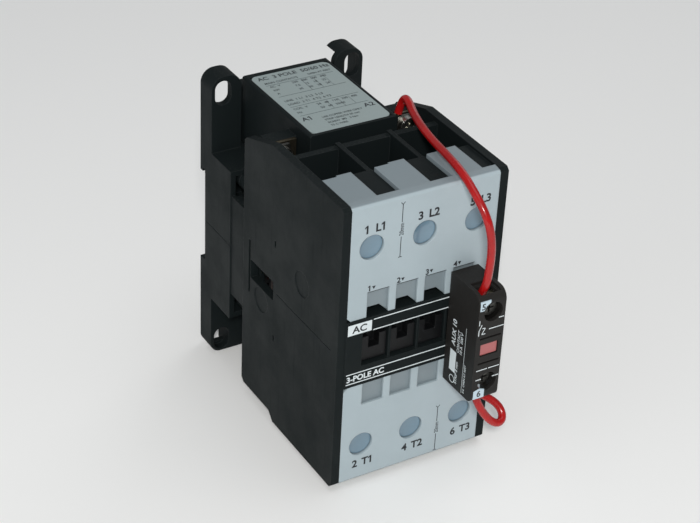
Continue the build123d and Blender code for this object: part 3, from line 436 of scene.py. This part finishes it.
def metalMaterial(name, m):
    # Drawn or plated metal: brushed one way, with cloudy tarnish and bright rubbed edges.
    material, tree, shader = startMaterial(name, Metallic=1.0)
    edge = useGroup(tree, softEdge, Radius=0.00018, Breakup=1400.0)
    marks = useGroup(tree, handling, Scale=160.0)
    where = addNode(tree, "TexCoord")
    along = addNode(tree, "Mapping", {"Vector": where.outputs["Object"], "Scale": m["brush"]})
    brush = addNode(tree, "TexNoise", {"Vector": along.outputs[0], "Scale": 6.0, "Detail": 5.0})
    tarnish = mathNode(tree, "MULTIPLY", marks.outputs["Smudge"], 0.55)
    dull = mixColour(tree, tarnish, m["colour"], m["stain"])
    bright = tuple(min(1.0, v * 1.15) for v in m["colour"])
    tree.links.new(mixColour(tree, edge.outputs["Edge"], dull, bright), shader.inputs["Base Color"])
    low, high = m["rough"]
    gloss = addNode(tree, "MapRange", {"Value": brush.outputs["Fac"], "From Min": 0.3, "From Max": 0.7,
                                       "To Min": low, "To Max": high})
    tree.links.new(gloss.outputs[0], shader.inputs["Roughness"])
    bump = addNode(tree, "Bump", {"Strength": m["depth"], "Distance": 0.00003,
                                  "Height": brush.outputs["Fac"], "Normal": edge.outputs["Normal"]})
    tree.links.new(bump.outputs[0], shader.inputs["Normal"])
    return material


laminations = {
    "pitch": 0.5 * mm,
    "gapShare": 0.16,
    "colour": (0.36, 0.36, 0.38),
    "joint": (0.05, 0.045, 0.04),
    "rust": (0.26, 0.13, 0.06),
}


def laminatedMaterial(name, l):
    # Stacked stampings: a dark joint every half millimetre up the stack, and a trace of rust.
    material, tree, shader = startMaterial(name)
    where = addNode(tree, "TexCoord")
    axes = addNode(tree, "SeparateXYZ", {0: where.outputs["Object"]})
    phase = mathNode(tree, "FRACT", mathNode(tree, "DIVIDE", axes.outputs["Z"], l["pitch"]))
    joint = addNode(tree, "MapRange", {"Value": phase, "From Min": l["gapShare"], "From Max": 0.0})
    marks = useGroup(tree, handling, Scale=220.0)
    rusty = mathNode(tree, "MULTIPLY", marks.outputs["Streak"], 0.5)
    steel = mixColour(tree, rusty, l["colour"], l["rust"])
    tree.links.new(mixColour(tree, joint.outputs[0], steel, l["joint"]), shader.inputs["Base Color"])
    tree.links.new(mathNode(tree, "SUBTRACT", 1.0, rusty), shader.inputs["Metallic"])
    rough = addNode(tree, "MapRange", {"Value": marks.outputs["Smudge"], "To Min": 0.28, "To Max": 0.5})
    tree.links.new(rough.outputs[0], shader.inputs["Roughness"])
    bump = addNode(tree, "Bump", {"Strength": 0.5, "Distance": 0.00006, "Height": joint.outputs[0]},
                   invert=True)
    tree.links.new(bump.outputs[0], shader.inputs["Normal"])
    return material


# Tape, film, insulation and ink.
windingTape = {"lap": 3.2 * mm, "colour": (0.62, 0.44, 0.08), "lapColour": (0.40, 0.26, 0.05)}
labelFilm = {"colour": (0.335, 0.40, 0.395), "cool": (0.30, 0.37, 0.38)}
insulation = {"colour": (0.40, 0.006, 0.006), "deep": (0.27, 0.004, 0.005), "pale": (0.50, 0.02, 0.018)}
inks = {"darkInk": (0.012, 0.013, 0.016), "whiteInk": (0.66, 0.72, 0.74), "labelInk": (0.02, 0.024, 0.03)}


def tapeMaterial(name, t):
    # Polyester tape wound over the coil: laps along the core, each edge a little raised.
    material, tree, shader = startMaterial(name, Coat_Weight=0.3, Coat_Roughness=0.12)
    where = addNode(tree, "TexCoord")
    axes = addNode(tree, "SeparateXYZ", {0: where.outputs["Object"]})
    lap = mathNode(tree, "FRACT", mathNode(tree, "DIVIDE", axes.outputs["Y"], t["lap"]))
    ridge = addNode(tree, "MapRange", {"Value": lap, "From Min": 0.85, "From Max": 1.0})
    marks = useGroup(tree, handling, Scale=140.0)
    lapped = mixColour(tree, ridge.outputs[0], t["colour"], t["lapColour"])
    tree.links.new(lapped, shader.inputs["Base Color"])
    rough = addNode(tree, "MapRange", {"Value": marks.outputs["Smudge"], "To Min": 0.18, "To Max": 0.34})
    tree.links.new(rough.outputs[0], shader.inputs["Roughness"])
    bump = addNode(tree, "Bump", {"Strength": 0.6, "Distance": 0.00008, "Height": lap})
    tree.links.new(bump.outputs[0], shader.inputs["Normal"])
    return material


def filmMaterial(name, f):
    # Silver-grey printed film: a slight metallic sheen, a fine orange peel and faint scuffs.
    material, tree, shader = startMaterial(name, Metallic=0.25, Coat_Weight=0.15, Coat_Roughness=0.2)
    marks = useGroup(tree, handling, Scale=70.0)
    edge = useGroup(tree, softEdge, Radius=0.0001)
    grain = useGroup(tree, mouldGrain, Scale=2200.0)
    shade = mathNode(tree, "MULTIPLY", marks.outputs["Smudge"], 0.5)
    tree.links.new(mixColour(tree, shade, f["colour"], f["cool"]), shader.inputs["Base Color"])
    rough = addNode(tree, "MapRange", {"Value": marks.outputs["Smudge"], "To Min": 0.34, "To Max": 0.5})
    tree.links.new(rough.outputs[0], shader.inputs["Roughness"])
    bump = addNode(tree, "Bump", {"Strength": 0.05, "Distance": 0.00003, "Height": grain.outputs["Height"],
                                  "Normal": edge.outputs["Normal"]})
    tree.links.new(bump.outputs[0], shader.inputs["Normal"])
    return material


def insulationMaterial(name, i):
    # Extruded wire insulation: deep glossy red, slightly uneven, with shallow flow ripples.
    material, tree, shader = startMaterial(name, Specular_IOR_Level=0.35, Coat_Weight=0.22,
                                           Coat_Roughness=0.1)
    marks = useGroup(tree, handling, Scale=120.0)
    where = addNode(tree, "TexCoord")
    ripple = addNode(tree, "TexNoise", {"Vector": where.outputs["Object"], "Scale": 420.0, "Detail": 3.0})
    base = mixColour(tree, marks.outputs["Smudge"], i["colour"], i["deep"])
    pale = mathNode(tree, "MULTIPLY", marks.outputs["Streak"], 0.35)
    tree.links.new(mixColour(tree, pale, base, i["pale"]), shader.inputs["Base Color"])
    rough = addNode(tree, "MapRange", {"Value": marks.outputs["Smudge"], "To Min": 0.2, "To Max": 0.34})
    tree.links.new(rough.outputs[0], shader.inputs["Roughness"])
    bump = addNode(tree, "Bump", {"Strength": 0.12, "Distance": 0.0001, "Height": ripple.outputs["Fac"]})
    tree.links.new(bump.outputs[0], shader.inputs["Normal"])
    return material


def inkMaterial(name, colour):
    # Pad-printed ink: nearly flat, with pinholes and a slightly uneven film.
    material, tree, shader = startMaterial(name, Specular_IOR_Level=0.35)
    where = addNode(tree, "TexCoord")
    film = addNode(tree, "TexNoise", {"Vector": where.outputs["Object"], "Scale": 2600.0, "Detail": 4.0})
    thin = addNode(tree, "MapRange", {"Value": film.outputs["Fac"], "From Min": 0.6, "From Max": 0.78,
                                      "To Max": 0.35})
    lighter = tuple(v * 0.7 + 0.05 for v in colour)
    tree.links.new(mixColour(tree, thin.outputs[0], colour, lighter), shader.inputs["Base Color"])
    rough = addNode(tree, "MapRange", {"Value": film.outputs["Fac"], "To Min": 0.35, "To Max": 0.6})
    tree.links.new(rough.outputs[0], shader.inputs["Roughness"])
    return material


finishes = {slot: plasticMaterial(slot, p) for slot, p in plastics.items()}
finishes.update({slot: metalMaterial(slot, m) for slot, m in metals.items()})
finishes["laminated_steel"] = laminatedMaterial("laminated_steel", laminations)
finishes["winding_tape"] = tapeMaterial("winding_tape", windingTape)
finishes["label_grey"] = filmMaterial("label_grey", labelFilm)
finishes["red_insulation"] = insulationMaterial("red_insulation", insulation)
inkOf = {ink: inkMaterial(ink, colour) for ink, colour in inks.items()}

# Pieces that get another finish than the rest of their slot; the dark brass of the coil terminal plates is
# painted shade.
ownFinish = {"aux_body": "warmMoulding", "aux_terminal_screws": "darkSteel",
             "coil_terminal_a1": "shadedBrass", "coil_terminal_a2": "shadedBrass",
             "coil_clamp_washers": "darkSteel"}
for nodeName, solid in nodes.items():
    solid.data.materials.clear()
    solid.data.materials.append(finishes[ownFinish.get(nodeName, slotOf[nodeName])])
for piece in leadPieces.values():
    piece.data.materials.append(finishes["red_insulation"])
print("stage: materials")


# Printing.
facings = {  # right, up and out of each printed face
    "front": ((1, 0, 0), (0, 0, 1), (0, -1, 0)),
    "frontUpwards": ((0, 0, 1), (-1, 0, 0), (0, -1, 0)),
    "top": ((1, 0, 0), (0, 1, 0), (0, 0, 1)),
    "leftUpwards": ((0, 0, 1), (0, 1, 0), (-1, 0, 0)),
}
inkThickness = 0.015 * mm
inkLift = 0.012 * mm


def textMesh(words, size, heavy, align):
    # Outlines of the words as flat faces, x to the right and y up, and their corner points.
    curve = bpy.data.curves.new("words", "FONT")
    curve.body = words
    curve.size = size
    curve.offset = heavy
    curve.align_x = align
    curve.resolution_u = 4
    carrier = bpy.data.objects.new("words", curve)
    bpy.context.collection.objects.link(carrier)
    mesh = bpy.data.meshes.new_from_object(carrier)
    points = np.zeros(len(mesh.vertices) * 3)
    mesh.vertices.foreach_get("co", points)
    faces = [tuple(face.vertices) for face in mesh.polygons]
    bpy.data.objects.remove(carrier)
    bpy.data.curves.remove(curve)
    bpy.data.meshes.remove(mesh)
    return points.reshape(-1, 3), faces


capitalPoints, _ = textMesh("H", 1.0, 0.0, "LEFT")
capitalShare = capitalPoints[:, 1].max()
stemPoints, _ = textMesh("1", 1.0, 0.0, "LEFT")
stemShare = float(np.ptp(stemPoints[:, 0])) / capitalShare
oneFlag = {"thick": 0.16, "reach": 0.26, "drop": 0.2}  # shares of the height of the capitals


class PrintSheet:
    # Collects words, bars and outlines printed on faces, and makes one piece of them.

    def __init__(self, name, ink, body, slot):
        self.name, self.ink, self.body, self.slot = name, ink, body, slot
        self.points, self.faces, self.count = [], [], 0

    def place(self, points, faces, facing, origin):
        right, up, out = (np.array(v, float) for v in facings[facing])
        flat = np.outer(points[:, 0], right) + np.outer(points[:, 1], up)
        placed = flat + np.array(origin, float) * mm + out * (inkLift + inkThickness)
        self.points.append(placed)
        self.faces += [tuple(i + self.count for i in face) for face in faces]
        self.count += len(placed)

    def words(self, text, facing, origin, height, heavy=0.0, align="CENTER", squeeze=1.0):
        # Words with capitals of the given height, their baseline at the origin.
        points, faces = textMesh(text, height * mm / capitalShare, heavy * mm, align)
        points[:, 0] *= squeeze
        self.place(points, faces, facing, origin)
        if text.endswith("1"):
            self.flag(points, height * mm, heavy * mm, facing, origin)

    def flag(self, points, height, heavy, facing, origin):
        # The short stroke down to the left from the top of a closing figure one.
        edge = points[:, 0].max() - stemShare * height - heavy
        top = points[:, 1].max()
        thick = oneFlag["thick"] * height + heavy
        end = edge - oneFlag["reach"] * height
        low = top - oneFlag["drop"] * height
        corners = [(edge, top), (edge, top - thick), (end, low - thick), (end, low)]
        stroke = np.array([(x, y, 0.0) for x, y in corners])
        self.place(stroke, [(3, 2, 1, 0)], facing, origin)

    def outline(self, corners, facing, origin):
        # A flat shape given by its corners in millimetres on the face.
        points = np.array([(x * mm, y * mm, 0.0) for x, y in corners])
        self.place(points, [tuple(range(len(corners)))], facing, origin)

    def bar(self, a, b, width, facing, origin):
        # A straight printed line of the given width from a to b.
        a, b = np.array(a, float), np.array(b, float)
        along = (b - a) / np.linalg.norm(b - a)
        across = np.array((-along[1], along[0])) * width / 2
        self.outline([a - across, b - across, b + across, a + across], facing, origin)

    def ring(self, centre, radius, width, facing, origin, turns=28):
        # A printed circle: two round paths joined by quads.
        angle = np.linspace(0, 2 * np.pi, turns, endpoint=False)
        circle = np.stack([np.cos(angle), np.sin(angle), angle * 0], 1)
        middle = np.array((*centre, 0.0))
        inner, outer = (middle + circle * (radius + side * width / 2) for side in (-1, 1))
        points = np.concatenate([inner, outer])
        following = (np.arange(turns) + 1) % turns
        faces = [(i, int(following[i]), int(following[i]) + turns, i + turns)[::-1] for i in range(turns)]
        self.place(points * mm, faces, facing, origin)

    def make(self):
        mesh = bpy.data.meshes.new(self.name)
        mesh.from_pydata(np.concatenate(self.points).tolist(), [], self.faces)
        mesh.materials.append(inkOf[self.ink])
        piece = bpy.data.objects.new(self.name, mesh)
        bpy.context.collection.objects.link(piece)
        film = piece.modifiers.new("film", "SOLIDIFY")
        film.thickness = inkThickness
        film.offset = -1.0
        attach(piece, self.body)
        return piece


def boxMm(node):
    low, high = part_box(node)
    return [v / mm for v in low], [v / mm for v in high]


plateLow, plateHigh = boxMm("upper_face_plate")
housingLow, housingHigh = boxMm("main_housing")
auxLow, auxHigh = boxMm("aux_body")
labelLow, labelHigh = boxMm("rating_plate")
plugLow, plugHigh = boxMm("screw_plugs")
polePitch = (boxMm("moving_bridge_2")[0][0] - boxMm("moving_bridge_1")[0][0])
centreZ = (plugLow[2] + plugHigh[2]) / 2
poleXs = [-polePitch, 0.0, polePitch]

platePrint = {
    "digitX": -2.0, "letterX": 2.9, "height": 2.75, "heavy": 0.12,
    "upperBase": 43.4, "lowerBase": -47.0,
    "upperGauge": (-8.85, 51.6, 31.7), "lowerGauge": (10.4, -32.2, -51.0),
    "gaugeLine": 0.26, "gaugeText": 1.5,
    "windowPitch": 10.6, "windowHalf": 4.0, "windowTop": 21.5, "windowText": 1.9,
}


def printGauge(sheet, x, top, bottom, face, p):
    # A strip gauge: a line with a forked top end, a footed lower end and its length across the middle.
    middle = (top + bottom) / 2
    half = p["gaugeText"] * 1.75
    sheet.bar((x, top - 1.0), (x, middle + half), p["gaugeLine"], "front", face)
    sheet.bar((x, middle - half), (x, bottom), p["gaugeLine"], "front", face)
    for side in (-1, 1):
        sheet.bar((x, top - 1.0), (x + side * 0.75, top - 0.2), p["gaugeLine"] * 0.9, "front", face)
        sheet.bar((x, bottom), (x + side * 0.65, bottom - 0.15), p["gaugeLine"], "front", face)
    sheet.words("20mm", "frontUpwards", (x + p["gaugeText"] / 2, face[1], face[2] + middle), p["gaugeText"],
                0.02, squeeze=0.8)


def makePlatePrint(p):
    sheet = PrintSheet("platePrint", "darkInk", "housing", "black_moulding_satin")
    face = (0.0, plateLow[1], centreZ)
    for i, x in enumerate(poleXs):
        for base, letter, number in ((p["upperBase"], "L", 2 * i + 1), (p["lowerBase"], "T", 2 * i + 2)):
            z = centreZ + base
            sheet.words(str(number), "front", (x + p["digitX"], face[1], z), p["height"], p["heavy"])
            sheet.words(f"{letter}{i + 1}", "front", (x + p["letterX"], face[1], z), p["height"], p["heavy"])
    for gauge in ("upperGauge", "lowerGauge"):
        printGauge(sheet, *p[gauge], face, p)
    for i in range(4):
        x = (i - 1.5) * p["windowPitch"]
        left = x - p["windowHalf"]
        top = p["windowTop"] + 0.12
        sheet.bar((left, top), (x + p["windowHalf"], top), 0.16, "front", face)
        sheet.words(str(i + 1), "front", (left + 0.65, face[1], centreZ + top + 0.4), p["windowText"], 0.08)
        arrow = [(left + 1.5, top + 1.9), (left + 2.15, top + 0.7), (left + 2.8, top + 1.9)]
        sheet.outline(arrow, "front", face)
    return sheet.make()


bandPrint = {
    "lines": [(-17.3, 11.05), (-17.3, 7.1), (-26.5, -8.0), (-26.5, -11.75)],  # left end and height
    "lineWidth": 0.36, "rightInset": 3.6,
    "box": (-26.6, -17.9, 7.15, 11.1),
    "words": (-26.3, -10.9, 1.95, "3-POLE AC"),
}


def makeBandPrint(p):
    sheet = PrintSheet("bandPrint", "whiteInk", "housing", "white_tag")
    face = (0.0, housingLow[1], centreZ)
    right = housingHigh[0] - p["rightInset"]
    for left, z in p["lines"]:
        sheet.bar((left, z), (right, z), p["lineWidth"], "front", face)
    x0, x1, z0, z1 = p["box"]
    sheet.outline([(x0, z0), (x1, z0), (x1, z1), (x0, z1)], "front", face)
    x, z, height, text = p["words"]
    sheet.words(text, "front", (x, face[1], centreZ + z), height, 0.09, "LEFT", squeeze=1.02)
    sheet.make()
    mark = PrintSheet("bandMark", "darkInk", "housing", "black_moulding_satin")
    lifted = housingLow[1] - inkThickness / mm
    mark.words("AC", "front", ((x0 + x1) / 2, lifted, centreZ + z0 + 0.75), 2.4, 0.08, squeeze=1.1)
    return mark.make()


labelPrint = {
    "title": ("AC  3 POLE  50/60 Hz", 0.5, -11.4, 2.0),
    "rows": [  # words, left end, baseline, height
        ("MAIN CONTACTS", -12.4, -14.6, 1.15), ("OPEN AT REST", 4.2, -14.2, 1.0),
        ("AC  V", -11.9, -17.4, 1.15), ("230   400   500   690", -3.6, -17.4, 1.15),
        ("kW", -11.9, -20.0, 1.15), ("7.5    15    18    22", -3.6, -20.0, 1.15),
        ("A", -11.9, -22.6, 1.15), ("30     30    28    24", -3.6, -22.6, 1.15),
        ("LINE  1 L1  3 L2  5 L3", -12.4, -28.4, 1.2),
        ("LOAD  2 T1  4 T2  6 T3", -12.4, -31.0, 1.2),
        ("COIL  V", -12.4, -34.6, 1.15), ("24   48   110   230   400", -3.6, -34.6, 1.15),
        ("Hz", -12.4, -37.2, 1.15), ("50   60   50/60", -3.6, -37.2, 1.15),
        ("USE COPPER WIRE ONLY", -6.6, -43.2, 1.0), ("STRIP LENGTH 20 mm", -6.6, -45.2, 1.0),
        ("SCREW  M5   3 Nm", -6.6, -47.2, 1.0), ("75 C WIRE", -6.6, -49.2, 1.0),
    ],
    "marks": [("A1", -11.4, -42.6, 2.3), ("A2", 11.9, -42.6, 2.3)],
    "rules": [(-24.4, -12.6, 13.0), (-32.4, -12.6, 13.0), (-39.0, -12.6, 13.0), (-15.6, -12.6, 13.0)],
    "columns": [(0.3, -16.0, -24.2), (4.6, -16.0, -24.2), (8.6, -16.0, -24.2), (0.3, -33.2, -38.8),
                (4.6, -33.2, -38.8), (8.6, -33.2, -38.8)],
}


def makeLabelPrint(p):
    sheet = PrintSheet("labelPrint", "labelInk", "housing", "black_moulding_satin")
    z = labelHigh[2]
    text, x, y, height = p["title"]
    sheet.words(text, "top", (x, y, z), height, 0.05)
    for text, x, y, height in p["rows"]:
        sheet.words(text, "top", (x, y, z), height, 0.015, "LEFT", squeeze=0.92)
    for text, x, y, height in p["marks"]:
        sheet.words(text, "top", (x, y, z), height, 0.05)
    for y, left, right in p["rules"]:
        sheet.bar((left, y), (right, y), 0.14, "top", (0, 0, z))
    for x, top, bottom in p["columns"]:
        sheet.bar((x, top), (x, bottom), 0.1, "top", (0, 0, z))
    return sheet.make()


auxPrint = {
    "frontBars": [(18.8, 20.7, 10.2), (15.3, 20.9, 6.8), (11.9, 16.1, -8.8), (16.5, 20.7, -8.8),
                  (18.4, 20.9, -12.6), (12.0, 14.1, -12.5)],
    "symbol": [((11.5, 10.9), (11.5, 9.0)), ((11.5, 5.0), (11.5, 6.9)), ((11.5, 6.9), (12.5, 9.1)),
               ((12.6, 5.4), (14.0, 5.4)), ((12.7, 7.6), (13.9, 7.6)), ((13.9, 7.6), (12.7, 5.5))],
    "barWidth": 0.32,
    "sideBox": (-15.7, -7.6, -104.0, -100.6),  # low and high Z, then Y
    "sideWords": [("AUX 10", -5.6, -102.9, 2.0, 0.06), ("CONTACT", -7.0, -105.3, 1.2, 0.02),
                  ("10 A  500 V", -7.0, -107.0, 1.2, 0.02), ("STRIP 8 mm", -19.4, -105.3, 1.2, 0.02),
                  ("5-6  OPEN AT REST", -20.2, -109.9, 0.9, 0.01)],
    "sideLine": (-20.6, 4.6, -108.4),
    "ring": (-18.6, -102.6, 1.35),
}


def makeAuxPrint(p):
    sheet = PrintSheet("auxPrint", "whiteInk", "housing", "white_tag")
    front = (0.0, auxLow[1], 0.0)
    for x0, x1, z in p["frontBars"]:
        sheet.bar((x0, z), (x1, z), p["barWidth"], "front", front)
    for a, b in p["symbol"]:
        sheet.bar(a, b, p["barWidth"] * 0.85, "front", front)
    side = (auxLow[0], 0.0, 0.0)
    z0, z1, y0, y1 = p["sideBox"]
    sheet.outline([(z0, y0), (z1, y0), (z1, y1), (z0, y1)], "leftUpwards", side)
    for text, z, y, height, heavy in p["sideWords"]:
        sheet.words(text, "leftUpwards", (side[0], y, z), height, heavy, "LEFT")
    z0, z1, y = p["sideLine"]
    sheet.bar((z0, y), (z1, y), 0.16, "leftUpwards", side)
    z, y, radius = p["ring"]
    sheet.ring((z, y), radius, 0.26, "leftUpwards", side)
    return sheet.make()


tagPrint = {"number_tag_5": ("5", -0.7, -1.25, 2.2), "number_tag_6": ("6", 0.0, -1.2, 2.2)}


def makeTagPrint(p):
    sheet = PrintSheet("tagPrint", "darkInk", "housing", "black_moulding_satin")
    for node, (text, dx, dz, height) in p.items():
        low, high = boxMm(node)
        x, z = (low[0] + high[0]) / 2 + dx, (low[2] + high[2]) / 2 + dz
        sheet.words(text, "front", (x, low[1], z), height, 0.06)
    return sheet.make()


makePlatePrint(platePrint)
makeBandPrint(bandPrint)
makeLabelPrint(labelPrint)
makeAuxPrint(auxPrint)
makeTagPrint(tagPrint)
print("stage: printing")
